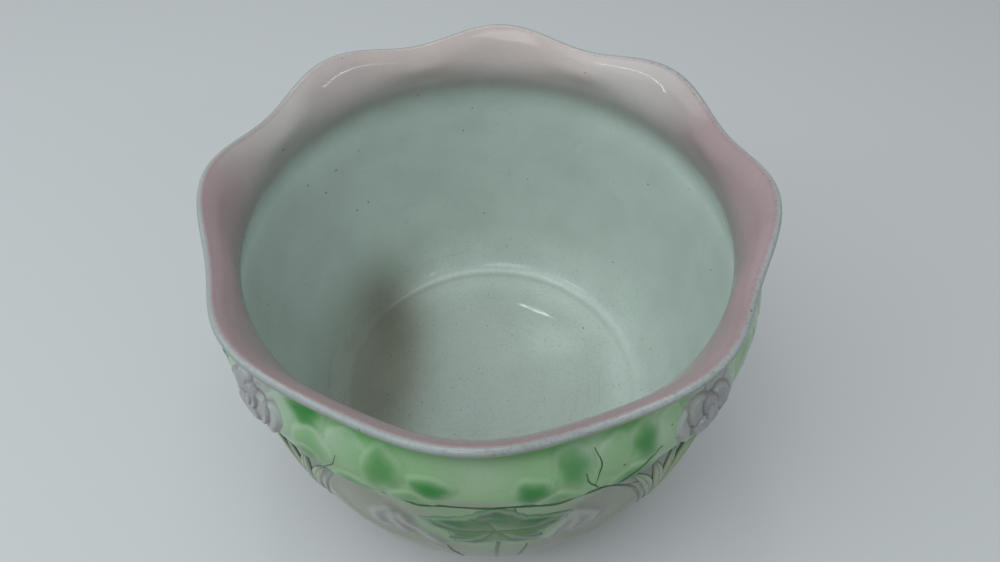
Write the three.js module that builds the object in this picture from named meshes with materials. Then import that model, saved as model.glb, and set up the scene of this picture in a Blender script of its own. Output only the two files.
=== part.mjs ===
// A glazed earthenware jardiniere: a round bowl on a low foot, with a raised garland
// band round its shoulder, a flared rim cut in eight waves, and flowers and leaves
// that were pressed in small moulds and stuck on before firing.
//
// Millimetres, +Z up. The foot stands on Z = 0 and the bowl's axis is the Z axis.
// An azimuth runs from the front (-Y) towards +X.

import * as THREE from 'three';

// ---- Driving sizes -----------------------------------------------------------------

const rimRadius = 133;       // outer edge of the lip, at the middle of its waves
const rimHeight = 191;       // middle of the lip above the table
const wallThickness = 7;

const waveCount = 8;         // waves of the rim
const waveOut = 2.75;        // how far a wave swings out and in
const waveUp = 3;            // how far it swings up and down

const ornamentCount = 4;     // flowers, leaf sprays and vine leaves, one of each a quarter
const flowerTurn = THREE.MathUtils.degToRad(1.5);   // they sit a little off the waves
const vineLeafTurn = THREE.MathUtils.degToRad(5);
const clearance = 0.35;      // between an ornament's back and the wall

// ---- Sizes worked out from them ----------------------------------------------------

const lipRadius = 0.4 * wallThickness;              // roundness of the thick lip
const lipCentreRadius = rimRadius - lipRadius;
const neckRadius = rimRadius - 5.5;                 // outside, in the hollow under the lip
const neckHeight = rimHeight - 9;
const throatRadius = rimRadius - 13;                // inside, the narrowest place
const throatHeight = rimHeight - 17;
const shoulderRadius = rimRadius + 3.4;             // outside, at the foot of the band
const bandEdgeHeight = rimHeight - 43;              // where the band ends
const bandStep = 2.9;                               // how far the wall steps in below it
const bandEdgeDrop = 4;                             // and the height of that step
const footRadius = 0.74 * rimRadius;
const footWidth = 9;                                // flat ring that it stands on
const footHeight = 8;
const footEdge = 2;                                 // height of the foot's eased edge
const footLean = 2.5;                               // how far the foot leans out going up
const footRecess = 3;                               // the base is hollowed this far
const floorHeight = 12;                             // the floor inside, above the table
const floorRadius = 0.71 * rimRadius;

const wallSegments = 80;     // round the bowl, ten to a wave

// ---- Outlines of the bowl, as radius and height ------------------------------------

const point = (radius, height) => new THREE.Vector2(radius, height);

// From the foot up to the step under the garland band: nearly upright, then tucked in.
const outerWall = new THREE.CubicBezierCurve(
  point(footRadius + footLean, footHeight),
  point(rimRadius - 4, footHeight + 16),
  point(rimRadius - 2, footHeight + 76),
  point(shoulderRadius - bandStep, bandEdgeHeight - bandEdgeDrop),
);

// The garland band swells from the hollow neck to the widest place of the bowl.
const garlandBand = new THREE.CubicBezierCurve(
  point(shoulderRadius, bandEdgeHeight),
  point(shoulderRadius + 1.1, bandEdgeHeight + 14),
  point(neckRadius + 2, neckHeight - 10),
  point(neckRadius, neckHeight),
);

// Inside, the flare runs down to the throat, and the wall swings out again below it.
const flare = new THREE.CubicBezierCurve(
  point(lipCentreRadius - lipRadius, rimHeight),
  point(throatRadius + 5, rimHeight - 6),
  point(throatRadius + 0.5, throatHeight + 7),
  point(throatRadius, throatHeight),
);

const innerShoulderRadius = shoulderRadius - wallThickness;
const innerShoulderHeight = bandEdgeHeight + 6;

const underThroat = new THREE.CubicBezierCurve(
  point(throatRadius, throatHeight),
  point(throatRadius, throatHeight - 9),
  point(innerShoulderRadius, innerShoulderHeight + 10),
  point(innerShoulderRadius, innerShoulderHeight),
);

const innerWall = new THREE.CubicBezierCurve(
  point(innerShoulderRadius, innerShoulderHeight),
  point(innerShoulderRadius - 4.2, floorHeight + 88),
  point(floorRadius + 24, floorHeight + 8),
  point(floorRadius, floorHeight),
);

// ---- Bowl --------------------------------------------------------------------------

const { smoothstep } = THREE.MathUtils;

// The rim's waves fade out down the neck and down the flare.
const waveShare = (height) => smoothstep(height, throatHeight - 2, rimHeight - 5);

// Where a station of an outline comes to lie at one azimuth, the waves included.
function placed(station, azimuth) {
  const wave = waveShare(station.y) * Math.cos(waveCount * azimuth);
  const radius = station.x === 0 ? 0 : station.x + waveOut * wave;
  return { radius, height: station.y + waveUp * wave };
}

// The wall's outer radius at an azimuth and a height, for the ornaments that lie on it.
function wallRadius(curve, azimuth, height) {
  let low = 0;
  let high = 1;
  for (let step = 0; step < 24; step += 1) {
    const middle = (low + high) / 2;
    if (placed(curve.getPoint(middle), azimuth).height < height) low = middle;
    else high = middle;
  }
  return placed(curve.getPoint(low), azimuth).radius;
}

// The thick lip is round, from under its outer edge over the top to the flare.
function lipStations() {
  const steps = 5;
  const startAngle = THREE.MathUtils.degToRad(-60);
  return Array.from({ length: steps }, (_, step) => {
    const angle = THREE.MathUtils.lerp(startAngle, Math.PI, step / steps);
    return point(
      lipCentreRadius + lipRadius * Math.cos(angle),
      rimHeight + lipRadius * Math.sin(angle),
    );
  });
}

function bowlStations() {
  return [
    point(0, footRecess),
    point(footRadius - footWidth - footRecess, footRecess),
    point(footRadius - footWidth, 0),
    point(footRadius, 0),
    point(footRadius + footLean / 2, footEdge),
    ...outerWall.getPoints(8),
    ...garlandBand.getPoints(6),
    ...lipStations(),
    ...flare.getPoints(4),
    ...underThroat.getPoints(3).slice(1),
    ...innerWall.getPoints(7).slice(1),
    point(0, floorHeight),
  ];
}

function bowlGeometry() {
  const stations = bowlStations();
  const geometry = new THREE.LatheGeometry(stations, wallSegments);
  geometry.rotateX(Math.PI / 2);
  const place = geometry.getAttribute('position');
  for (let segment = 0; segment <= wallSegments; segment += 1) {
    const azimuth = (segment % wallSegments) * 2 * Math.PI / wallSegments;
    stations.forEach((station, index) => {
      const { radius, height } = placed(station, azimuth);
      place.setXYZ(segment * stations.length + index,
        radius * Math.sin(azimuth), -radius * Math.cos(azimuth), height);
    });
  }
  return geometry;
}

// ---- Stuck-on ornaments ------------------------------------------------------------

const edgeThickness = 0.6;   // an ornament is no thinner than this at its edge

// A thin closed patch that lies on the wall. It is a loft of rings round its middle.
// For a share of the way out and a direction, spot gives the place on the wall, and
// lift how far the front stands off it there.
function ornamentGeometry({ curve, azimuth, spot, lift, rings, directions }) {
  const positions = [];
  const indices = [];
  const layerSize = 1 + rings * directions;

  function addPoint(share, direction, raised) {
    const { across, height } = spot(share, direction);
    const turn = azimuth + across / rimRadius;
    const thickness = raised ? Math.max(edgeThickness, lift(share, direction)) : 0;
    const radius = wallRadius(curve, turn, height) + clearance + thickness;
    positions.push(radius * Math.sin(turn), -radius * Math.cos(turn), height);
  }

  for (const raised of [true, false]) {
    addPoint(0, 0, raised);
    for (let ring = 1; ring <= rings; ring += 1) {
      for (let step = 0; step < directions; step += 1) {
        addPoint(ring / rings, step * 2 * Math.PI / directions, raised);
      }
    }
  }

  // The front runs anticlockwise seen from outside, the back clockwise.
  const onRing = (layer, ring, step) => layer * layerSize + 1
    + (ring - 1) * directions + (step % directions);
  const addFace = (layer, a, b, c) => indices.push(...(layer === 0 ? [a, b, c] : [a, c, b]));
  for (let step = 0; step < directions; step += 1) {
    for (const layer of [0, 1]) {
      addFace(layer, layer * layerSize, onRing(layer, 1, step), onRing(layer, 1, step + 1));
      for (let ring = 1; ring < rings; ring += 1) {
        const innerNext = onRing(layer, ring, step + 1);
        const outer = onRing(layer, ring + 1, step);
        addFace(layer, onRing(layer, ring, step), outer, innerNext);
        addFace(layer, outer, onRing(layer, ring + 1, step + 1), innerNext);
      }
    }
    const frontNext = onRing(0, rings, step + 1);
    const back = onRing(1, rings, step);
    addFace(0, onRing(0, rings, step), back, frontNext);
    addFace(0, back, onRing(1, rings, step + 1), frontNext);
  }

  const geometry = new THREE.BufferGeometry();
  geometry.setAttribute('position', new THREE.Float32BufferAttribute(positions, 3));
  geometry.setIndex(indices);
  geometry.computeVertexNormals();
  return geometry;
}

// A flower of five broad petals round a raised heart, on the garland band.
const flowerHeight = rimHeight - 31;
const flowerHalfWidth = 20;
const flowerHalfHeight = 17;
const flowerRise = 2.6;
const petalCount = 5;
const petalNotch = 0.2;      // how far the gaps between the petals reach in
const petalFurrow = 1.2;     // and how deep they are
const petalSwell = (direction) => (
  Math.abs(Math.cos(petalCount / 2 * (direction - Math.PI / 2)))
);

const flower = {
  curve: garlandBand,
  rings: 4,
  directions: 30,
  spot: (share, direction) => {
    const reach = share * (1 - petalNotch * (1 - Math.sqrt(petalSwell(direction))));
    return {
      across: flowerHalfWidth * reach * Math.cos(direction),
      height: flowerHeight + flowerHalfHeight * reach * Math.sin(direction),
    };
  },
  lift: (share, direction) => {
    const dome = flowerRise * Math.sqrt(1 - 0.9 * share ** 2);
    return dome - petalFurrow * share * (1 - petalSwell(direction));
  },
};

// A vine leaf stands under the band, with five pointed lobes that swell between its
// veins: one lobe points up, and the stem comes from below, between the lowest two.
const wallTop = bandEdgeHeight - bandEdgeDrop;
const ornamentGap = 2;       // from the step under the band down to a leaf
const vineLeafHalfWidth = 37;
const vineLeafHalfHeight = 32;
const vineLeafRise = 1.7;
const lobeCount = 5;
const lobeDepth = 0.34;      // how far the gaps between the lobes reach in
const veinDepth = 0.5;
const vineLeafHeight = wallTop - ornamentGap - vineLeafHalfHeight;
const lobeGap = (direction) => (
  Math.abs(Math.sin(lobeCount / 2 * (direction - Math.PI / 2)))
);

const vineLeaf = {
  curve: outerWall,
  rings: 4,
  directions: 40,
  spot: (share, direction) => {
    const reach = share * (1 - lobeDepth * lobeGap(direction) ** 1.5);
    return {
      across: vineLeafHalfWidth * reach * Math.cos(direction),
      height: vineLeafHeight + vineLeafHalfHeight * reach * Math.sin(direction),
    };
  },
  lift: (share, direction) => {
    const vein = veinDepth * (1 - lobeGap(direction)) * Math.sin(Math.PI * share);
    return vineLeafRise * (1 - share ** 3) - vein;
  },
};

// A spray of long pointed leaves fans out from a narrow root under each flower.
const sprayRoot = 40;
const sprayTip = wallTop - ornamentGap;
const sprayMiddle = sprayTip - 28;
const sprayRise = 1.8;
const sprayLeafCount = 5;
const sprayNotch = 9;        // how far the gaps between its leaf tips reach down
const creaseDepth = 0.4;
const sprayGap = (aside) => Math.abs(Math.sin(sprayLeafCount / 2 * Math.PI * aside));
const sprayHalfWidth = (height) => {
  const up = (height - sprayRoot) / (sprayTip - sprayRoot);
  return 3 + 27 * up + 16 * up ** 4;
};

const leafSpray = {
  curve: outerWall,
  rings: 6,
  directions: 36,
  spot: (share, direction) => {
    const aside = Math.cos(direction);
    const along = Math.sin(direction);
    const end = along > 0 ? sprayTip - sprayNotch * sprayGap(aside) : sprayRoot;
    const height = THREE.MathUtils.lerp(sprayMiddle, end, share * Math.abs(along));
    const spread = Math.sign(aside) * Math.sqrt(Math.abs(aside));
    return { across: share * sprayHalfWidth(height) * spread, height };
  },
  lift: (share, direction) => (
    sprayRise - 0.8 * share ** 3 - creaseDepth * share * sprayGap(Math.cos(direction))
  ),
};

// ---- Assembly ----------------------------------------------------------------------

const glaze = (colour, roughness) => new THREE.MeshStandardMaterial({
  color: colour,
  roughness,
  metalness: 0,
});

function named(name, geometry, material) {
  const mesh = new THREE.Mesh(geometry, material);
  mesh.name = name;
  return mesh;
}

const jardiniere = new THREE.Group();
jardiniere.add(named('bowl_body', bowlGeometry(), glaze(0xaab9b0, 0.22)));

const quarterTurn = 2 * Math.PI / ornamentCount;
const flowerGlaze = glaze(0xa79fac, 0.25);
const sprayGlaze = glaze(0x9db593, 0.25);
const vineLeafGlaze = glaze(0x5f9a63, 0.25);

function addOrnament(name, ornament, azimuth, material) {
  const geometry = ornamentGeometry({ ...ornament, azimuth });
  jardiniere.add(named(name, geometry, material.clone()));
}

['front_right', 'back_right', 'back_left', 'front_left'].forEach((corner, index) => {
  const azimuth = flowerTurn + (index + 0.5) * quarterTurn;
  addOrnament(`flower_${corner}`, flower, azimuth, flowerGlaze);
  addOrnament(`leaf_spray_${corner}`, leafSpray, azimuth, sprayGlaze);
});

['front', 'right', 'back', 'left'].forEach((side, index) => {
  const azimuth = vineLeafTurn + index * quarterTurn;
  addOrnament(`vine_leaf_${side}`, vineLeaf, azimuth, vineLeafGlaze);
});

export default jardiniere;
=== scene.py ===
# %% [markdown]
# # A glazed jardiniere with a waved rim
# A jardiniere is a wide bowl that hides a plain plant pot. This one is cast in a
# mould from white earthenware: the wall carries a garland band, vine leaves, fans of
# long leaves and four flowers, and the rim swings up and out in eight waves. After
# the first firing it was painted by hand and dipped in a clear, glossy glaze.
#
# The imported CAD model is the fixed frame. Everything below is in metres in its frame:
# Z is the bowl's axis, -Y is the front, and an azimuth runs from -Y towards +X.

# %% Load the frame
import math

import bpy
import numpy as np
from mathutils import Matrix, Vector


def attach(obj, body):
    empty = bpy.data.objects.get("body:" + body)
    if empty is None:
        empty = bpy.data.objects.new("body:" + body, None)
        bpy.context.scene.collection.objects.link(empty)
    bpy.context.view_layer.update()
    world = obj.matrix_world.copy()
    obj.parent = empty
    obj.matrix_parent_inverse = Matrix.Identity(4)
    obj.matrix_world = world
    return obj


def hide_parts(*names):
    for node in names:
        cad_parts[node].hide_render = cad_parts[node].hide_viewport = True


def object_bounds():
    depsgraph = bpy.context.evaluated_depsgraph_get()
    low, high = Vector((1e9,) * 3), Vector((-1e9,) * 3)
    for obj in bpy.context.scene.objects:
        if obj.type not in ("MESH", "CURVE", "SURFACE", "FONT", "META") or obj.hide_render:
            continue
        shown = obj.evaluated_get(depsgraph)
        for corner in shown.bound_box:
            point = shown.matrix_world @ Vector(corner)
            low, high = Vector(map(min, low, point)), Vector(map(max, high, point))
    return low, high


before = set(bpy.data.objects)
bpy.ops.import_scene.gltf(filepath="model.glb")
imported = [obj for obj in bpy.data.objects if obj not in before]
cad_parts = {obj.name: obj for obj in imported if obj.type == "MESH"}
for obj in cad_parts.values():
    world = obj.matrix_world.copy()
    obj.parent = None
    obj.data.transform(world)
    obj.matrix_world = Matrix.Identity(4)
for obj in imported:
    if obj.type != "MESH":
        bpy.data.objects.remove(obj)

cad_low, cad_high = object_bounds()
print("CAD box in mm:", [round(1000 * v, 1) for v in (*cad_low, *cad_high)])

# %% [markdown]
# ## Sizes
# The bowl is measured in millimetres here, as a potter would, and turned to metres
# where a mesh is made. Places on the wall are given as an azimuth in degrees and a
# drop in millimetres below the middle of the rim, because that is how they are read
# from a bowl that is seen from above.

# %% Sizes of the bowl
MM = 0.001
RIM_RADIUS = 133.0
RIM_HEIGHT = 191.0                  # the middle of the lip
FLOOR_HEIGHT = 12                   # the floor inside
LIP_RADIUS = 2.1                    # roundness of the lip
WAVES = 8
WAVE_OUT = 2.75
WAVE_UP = 3.0
WIDEST = 1000 * cad_high.x          # nothing on the wall may pass this radius
QUARTER = 90.0                      # the decoration repeats four times round the bowl
MM_PER_DEGREE = math.radians(1) * RIM_RADIUS
print("one degree on the rim is", round(MM_PER_DEGREE, 2), "mm")

# %% [markdown]
# ## Camera
# The photograph looks steeply down into the bowl from in front. The waves of the rim
# give the camera away: with eight equal waves only one place and tilt of the lens
# puts every crest where it is seen.

# %% Camera
CAMERA_AZIMUTH = math.radians(4.94)
CAMERA_DISTANCE = 237.4 * MM
CAMERA_HEIGHT = 419.8 * MM
YAW, PITCH, ROLL = (math.radians(v) for v in (1.44, 51.41, -0.42))


def add(name, data):
    """A new object in the scene."""
    made = bpy.data.objects.new(name, data)
    bpy.context.scene.collection.objects.link(made)
    return made


def camera_turn():
    """The camera's axes as columns: right, up and back."""
    forward = Vector((math.sin(YAW) * math.cos(PITCH), math.cos(YAW) * math.cos(PITCH),
                      -math.sin(PITCH)))
    right = Vector((math.cos(YAW), -math.sin(YAW), 0))
    up = right.cross(forward)
    leant_right = math.cos(ROLL) * right + math.sin(ROLL) * up
    leant_up = math.cos(ROLL) * up - math.sin(ROLL) * right
    axes = Matrix((leant_right, leant_up, -forward)).transposed()
    return Matrix.Rotation(CAMERA_AZIMUTH, 3, "Z") @ axes


camera = add("camera", bpy.data.cameras.new("camera"))
camera.data.sensor_width = 36
camera.data.lens = 24.876
camera.data.clip_start = 0.01
place = Vector((math.sin(CAMERA_AZIMUTH) * CAMERA_DISTANCE,
                -math.cos(CAMERA_AZIMUTH) * CAMERA_DISTANCE, CAMERA_HEIGHT))
camera.matrix_world = Matrix.Translation(place) @ camera_turn().to_4x4()
bpy.context.scene.camera = camera
print("camera at", [round(v, 3) for v in place])

# %% [markdown]
# ## Small helpers for node trees
# The same few calls build the Geometry Nodes and the materials. `node` adds a node and
# fills its inputs: a value is set on the socket, an output is linked to it, and a whole
# node stands for its first output.

# %% Node helpers


def fill(made, inputs):
    """Sets or links a node's inputs."""
    for key, value in inputs.items():
        if isinstance(value, bpy.types.Node):
            value = value.outputs[0]
        if isinstance(value, bpy.types.NodeSocket):
            made.id_data.links.new(value, made.inputs[key])
        else:
            made.inputs[key].default_value = value
    return made


def node(tree, kind, inputs=None, **settings):
    """Adds a node, sets its properties, and fills its inputs."""
    made = tree.nodes.new(kind)
    for name, value in settings.items():
        setattr(made, name, value)
    return fill(made, inputs or {})


def maths(tree, operation, *values):
    """A Math node."""
    return node(tree, "ShaderNodeMath", dict(enumerate(values)), operation=operation)


def times(tree, a, b):
    """The product of two numbers."""
    return maths(tree, "MULTIPLY", a, b)


def scaled(tree, vector, amount):
    """A vector or a colour times a number."""
    return node(tree, "ShaderNodeVectorMath", {0: vector, "Scale": amount}, operation="SCALE")


def parts(tree, vector):
    """The X, Y and Z of a vector."""
    return node(tree, "ShaderNodeSeparateXYZ", {0: vector}).outputs


def remap(tree, value, low, high, to_low=0.0, to_high=1.0, **settings):
    """A value moved from one range to another, and held inside it."""
    return node(tree, "ShaderNodeMapRange", {
        "Value": value, "From Min": low, "From Max": high, "To Min": to_low, "To Max": to_high},
        **settings)


def geometry_tree(name, sockets):
    """An empty Geometry Nodes tree, and what comes into it by name."""
    tree = bpy.data.node_groups.new(name, "GeometryNodeTree")
    tree.is_modifier = True
    for label, kind in {"Geometry": "Geometry", **sockets}.items():
        tree.interface.new_socket(label, in_out="INPUT", socket_type="NodeSocket" + kind)
    tree.interface.new_socket("Geometry", in_out="OUTPUT", socket_type="NodeSocketGeometry")
    return tree, node(tree, "NodeGroupInput").outputs


def end_tree(tree, shaped, glaze):
    """Shades the shape softly, makes copies real, glazes it and hands it out."""
    soft = node(tree, "GeometryNodeSetShadeSmooth", {"Geometry": shaped})
    solid = node(tree, "GeometryNodeRealizeInstances", {0: soft})
    glazed = node(tree, "GeometryNodeSetMaterial", {"Geometry": solid, "Material": glaze})
    node(tree, "NodeGroupOutput", {0: glazed})


def made_by(tree, source, values, name):
    """Runs a tree on a source object and keeps the result as a plain mesh object."""
    modifier = source.modifiers.new("shape", "NODES")
    modifier.node_group = tree
    for socket in tree.interface.items_tree:
        if socket.in_out == "INPUT" and socket.name in values:
            modifier[socket.identifier] = values[socket.name]
    bpy.context.view_layer.update()
    shaped = source.evaluated_get(bpy.context.evaluated_depsgraph_get())
    piece = add(name, bpy.data.meshes.new_from_object(shaped))
    source.modifiers.remove(modifier)
    piece.data.name = name
    print(name, "has", len(piece.data.polygons), "faces")
    return piece


# %% [markdown]
# ## Outline of the bowl
# A mould is turned from a drawing of half the bowl's section, so the section comes
# first: from the middle of the base, round the foot, up the wall and the garland
# band, over the thick lip, down the flare and back to the middle of the floor.

# %% Curves for the outline


def bezier(steps, *corners):
    """Points along a cubic curve."""
    a, b, c, d = np.array(corners, float)
    t = np.linspace(0, 1, steps + 1)[:, None]
    return (1 - t)**3 * a + 3 * (1 - t)**2 * t * b + 3 * (1 - t) * t * t * c + t**3 * d


def arc(steps, centre, radius, start, end):
    """Points along an arc, from one angle in degrees to another."""
    angle = np.radians(np.linspace(start, end, steps + 1))
    return np.array(centre) + radius * np.column_stack([np.cos(angle), np.sin(angle)])


# %% The sections, as radius and height in mm
FLOOR_RADII = (91, 86, 80, 76, 73, 71, 69, 67, 64, 58, 46, 32, 16, 0)
SECTIONS = {
    "base": np.array([(0, 3), (45, 3), (85.6, 3), (86.6, 2.7), (88.6, 0.5), (89.6, 0)], float),
    "foot": np.array([(97.6, 0), (98.8, 0.6), (99.6, 2.4), (100.92, 8)], float),
    "wall": bezier(54, (100.92, 8), (129, 24), (131, 84), (133.4, 143.4)),
    "step": bezier(5, (133.4, 143.4), (133.5, 145.4), (135.5, 145.0), (135.8, 147.6)),
    "band": bezier(31, (135.8, 147.6), (136.7, 161), (129.4, 172), (127.4, 182)),
    "under_lip": bezier(5, (127.4, 182), (127, 185.4), (129.3, 188.3), (131.95, 189.58)),
    "lip": arc(12, (RIM_RADIUS - LIP_RADIUS, 191.4), LIP_RADIUS, -60, 135),
    "flare": bezier(14, (129.415, 192.885), (126.4, 189.9), (120.4, 184.0), (120, 170.5)),
    "throat": bezier(12, (120, 170.5), (119.7, 163.5), (126.6, 158), (127.6, 143)),
    "inside": bezier(23, (127.6, 143), (126, 95), (118, 13.5), (94.43, FLOOR_HEIGHT)),
    "floor": np.array([(reach, FLOOR_HEIGHT) for reach in FLOOR_RADII], float),
}


def join_sections():
    """One outline of all sections, and the zone that each of its points belongs to."""
    points, zones = [], []
    for zone, section in SECTIONS.items():
        for point in section:
            if not points or np.hypot(*(point - points[-1])) > 0.01:
                points.append(point)
                zones.append(zone)
    return np.array(points), np.array(zones)


OUTLINE, ZONES = join_sections()
LENGTHS = np.concatenate([[0], np.cumsum(np.hypot(*np.diff(OUTLINE, axis=0).T))])
print(len(OUTLINE), "points in the outline, which is", round(LENGTHS[-1]), "mm long")

# %% [markdown]
# ## The sheet
# The wall's decoration is easiest to lay out flat. The sheet is a grid with one row
# for each point of the outline and one column for each step round the bowl: X is the
# azimuth, Y is the way along the outline. Relief and paint are worked out on it, and
# then Geometry Nodes roll it up into the bowl.

# %% Lay out the sheet
COLUMNS = 520
azimuth = np.linspace(0, 360, COLUMNS + 1)[:, None]
radius = OUTLINE[None, :, 0]
height = OUTLINE[None, :, 1]
drop = RIM_HEIGHT - height
# The decoration of one quarter is centred a little right of the front wave.
local = (azimuth + 43.5) % QUARTER - 43.5
shape = (COLUMNS + 1, len(OUTLINE))


def zone(*names):
    """1 where the outline is in one of these zones, and 0 elsewhere."""
    return np.isin(ZONES, names)[None, :].astype(float)


def smooth(value, low, high):
    """A soft step from 0 at low to 1 at high."""
    t = np.clip((value - low) / (high - low), 0, 1)
    return t * t * (3 - 2 * t)


def bell(value, middle, width):
    """1 at the middle, fading to 0 a few widths away."""
    return np.exp(-((value - middle) / width)**2)


def across_from(middle):
    """Way round the wall from an azimuth of each quarter, in mm."""
    return ((local - middle + QUARTER / 2) % QUARTER - QUARTER / 2) * MM_PER_DEGREE


def in_ellipse(x, y, half, tilt):
    """Places as shares of a tilted ellipse's half sizes."""
    turn = math.radians(tilt)
    along = x * math.cos(turn) + y * math.sin(turn)
    aside = y * math.cos(turn) - x * math.sin(turn)
    return along / half[0], aside / half[1]


def spot(centre, half, tilt=0.0, wobble=0.0):
    """Distance from a place on the wall, as a share of an ellipse round it, even or wavy."""
    x, y = in_ellipse(across_from(centre[0]), drop - centre[1], half, tilt)
    around = np.arctan2(y, x)
    uneven = np.sin(3 * around + centre[0]) + 0.6 * np.sin(5 * around + centre[1])
    return np.hypot(x, y) * (1 + wobble * uneven)


def line_distance(x, y, points):
    """Distance from each place to a line through several points."""
    best = np.inf
    for (x0, y0), (x1, y1) in zip(points[:-1], points[1:]):
        dx, dy = x1 - x0, y1 - y0
        t = np.clip(((x - x0) * dx + (y - y0) * dy) / (dx * dx + dy * dy), 0, 1)
        best = np.minimum(best, np.hypot(x - x0 - t * dx, y - y0 - t * dy))
    return best


def near_path(points, width):
    """1 on a line through places on the wall, fading to 0 at its width in mm."""
    path = [(a * MM_PER_DEGREE, d) for a, d in points]
    return 1 - smooth(line_distance(local * MM_PER_DEGREE, drop, path), 0, width)


print("the sheet has", shape[0] * shape[1], "points")

# %% [markdown]
# ## Relief of the garland band
# The band is a garland of soft leaves that lie over each other like scales. They are
# laid on one by one, as a painter lays patches: each is a low dome with a raised edge,
# hides what lies below it, and leaves a fold round itself. A painted highlight lies on
# the upper edge of each leaf, and painted shade in the fold round it. The lowest ones
# hang over the band's edge.

# %% Leaves of the garland: place, half size in mm, tilt, strength of the green, lift in mm
GARLAND = [
    ((-36.5, 27), (8, 13), 10, 0.12, 0.6),
    ((-21.0, 24), (11, 11), 0, 0.12, 0.5),
    ((-30.5, 15), (11, 7), 10, 0.95, 0.5),
    ((-28.5, 30), (11, 9), -8, 0.40, 0.8),
    ((-29.5, 39), (8, 7), 0, 0.95, 0.5),
    ((-14.5, 26), (9, 12), 8, 0.75, 0.9),
    ((-6.0, 31), (9.5, 7), 10, 1.00, 1.0),
    ((-9.5, 43), (10, 8), 5, 0.55, 0.8),
    ((-20.0, 44), (11, 8), -6, 0.75, 0.9),
    ((18.3, 23), (8, 12), -6, 0.75, 0.8),
    ((11.2, 33), (8.5, 8.5), -6, 1.00, 1.0),
    ((16.2, 44), (11, 8), 4, 0.60, 0.9),
    ((26.0, 24), (7.5, 11), 0, 0.10, 0.6),
    ((32.0, 24), (7, 12), -8, 0.90, 0.8),
    ((29.5, 43), (12, 8.5), -14, 1.00, 1.0),
    ((37.5, 24), (6, 12), 6, 0.0, 1.0),
]
garland_zone = smooth(drop, 9, 13) * zone("band", "step", "wall")


def lay_garland():
    """Height of the leaves in mm, and three masks: green dabs, painted highlights on the upper
    edges, painted shade in the folds.
    """
    height_mm, green, pale, fold = (np.zeros(shape) for _ in range(4))
    for centre, half, tilt, strength, lift in GARLAND:
        out = spot(centre, half, tilt, 0.07)
        inside = 1 - smooth(out, 0.86, 1.12)
        top = 1 - smooth(drop, centre[1] - 4, centre[1] + 6)
        dome = lift * np.sqrt(np.clip(1.05 - (0.85 * out)**2, 0, 1)) + 0.12 * bell(out, 0.90, 0.14)
        height_mm = height_mm * (1 - inside) + inside * (dome + 0.3 * height_mm)
        dab = strength * np.exp(-(spot((centre[0], centre[1] + 1), half, tilt, 0.12) / 0.86)**3)
        green = green * (1 - inside) + dab * inside
        pale = pale * (1 - inside) + top * bell(out, 0.92, 0.14) * inside
        fold = fold * (1 - inside) + 0.5 * bell(out, 1.10, 0.10) * (1 - inside)
    return [values * garland_zone for values in (height_mm, green, pale, fold)]


garland, green_dabs, edge_highlights, folds = lay_garland()
print("the garland is up to", round(garland.max(), 2), "mm high")

# %% [markdown]
# ## Relief of the wall
# Below the band the wall is dished between the fans of leaves, and a lily bud of three
# petals lies in each dish, left and right of the vine leaf. Inside, the turning of the
# mould left faint rings and a line round the edge of the floor, too fine to feel, and
# the glaze on the floor set in a shallow ripple, which draws a streak of light.

# %% Petals in the dishes, as strokes across the wall
PETALS = [
    [(-15.5, 76), (-18.5, 84), (-20.5, 94), (-20.0, 103)],
    [(-13.5, 80), (-13.0, 90), (-9.0, 98), (-7.0, 106)],
    [(-15.0, 80), (-16.0, 92), (-14.0, 104)],
    [(21.0, 74), (24.0, 81), (26.5, 90), (26.5, 100)],
    [(20.5, 78), (19.5, 88), (17.5, 96), (16.5, 103)],
    [(21.5, 78), (22.5, 90), (21.5, 102)],
]
petals = np.max([near_path(path, 7.0) for path in PETALS], axis=0) * zone("wall")
# The white stroke beside each petal, set a little up and to the left, is a painted highlight.
petal_highlights = np.max([near_path([(a - 1.1, d - 1) for a, d in path], 4.0) for path in PETALS],
                     axis=0) * zone("wall")


def dish():
    """1 in the smooth dishes on both sides of the vine leaf."""
    nearest = np.minimum(spot((-20, 88), (26, 38)), spot((27, 88), (25, 38)))
    return (1 - smooth(nearest, 0.75, 1.05)) * zone("wall")


def soft_leaf_relief():
    """Low swellings beside the vine leaf, where more leaves melt into the wall."""
    places = [((-8, 60), (11, 9), 20), ((16, 60), (9, 8), -20), ((-6, 118), (9, 13), 0),
              ((14, 118), (9, 13), 0), ((4, 56), (9, 8), 0)]
    return np.max([np.sqrt(np.clip(1 - spot(*place)**2, 0, 1)) for place in places], axis=0)


rings = 0.10 * np.sin(drop / 4.1) + 0.06 * np.sin(drop / 1.9 + 1)
floor_edge = bell(radius, 94, 2.6) * zone("inside", "floor") * smooth(drop, 150, 172)
ripple = bell(radius, 71, 3.2) * bell(azimuth, 156, 22) * zone("floor")
relief = garland - 0.8 * dish() + 0.9 * petals + 0.5 * soft_leaf_relief() * zone("wall")
relief = relief + rings * smooth(drop, 45, 60) * zone("inside") - 0.02 * floor_edge + 1.15 * ripple
turned = np.radians(azimuth)
# The band comes closest to the sides of the CAD box, and leaves lie lower where it does.
room = (WIDEST - 0.05) / np.maximum(np.abs(np.sin(turned)), np.abs(np.cos(turned))) - radius
relief = np.minimum(relief, np.where(zone("band", "step") > 0, room, 9))
print("relief from", round(relief.min(), 2), "to", round(relief.max(), 2), "mm")

# %% [markdown]
# ## Paint
# The colours were brushed and sponged on before glazing: dusty pink inside the flare,
# pale mint on the garland with a dab of darker green on each leaf, dark green in the
# gaps of the leaf fans, lilac on the petals, and gilding on the edge of the lip,
# nearly all worn away. Painted light and shade are laid in with them: highlights on
# the garland and the petals, shade in the folds and the throat, a paler far side of
# the flare, lighter bands inside, and a reflection and a shadow on the floor. One
# colour for each point of the sheet carries all this.

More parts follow.
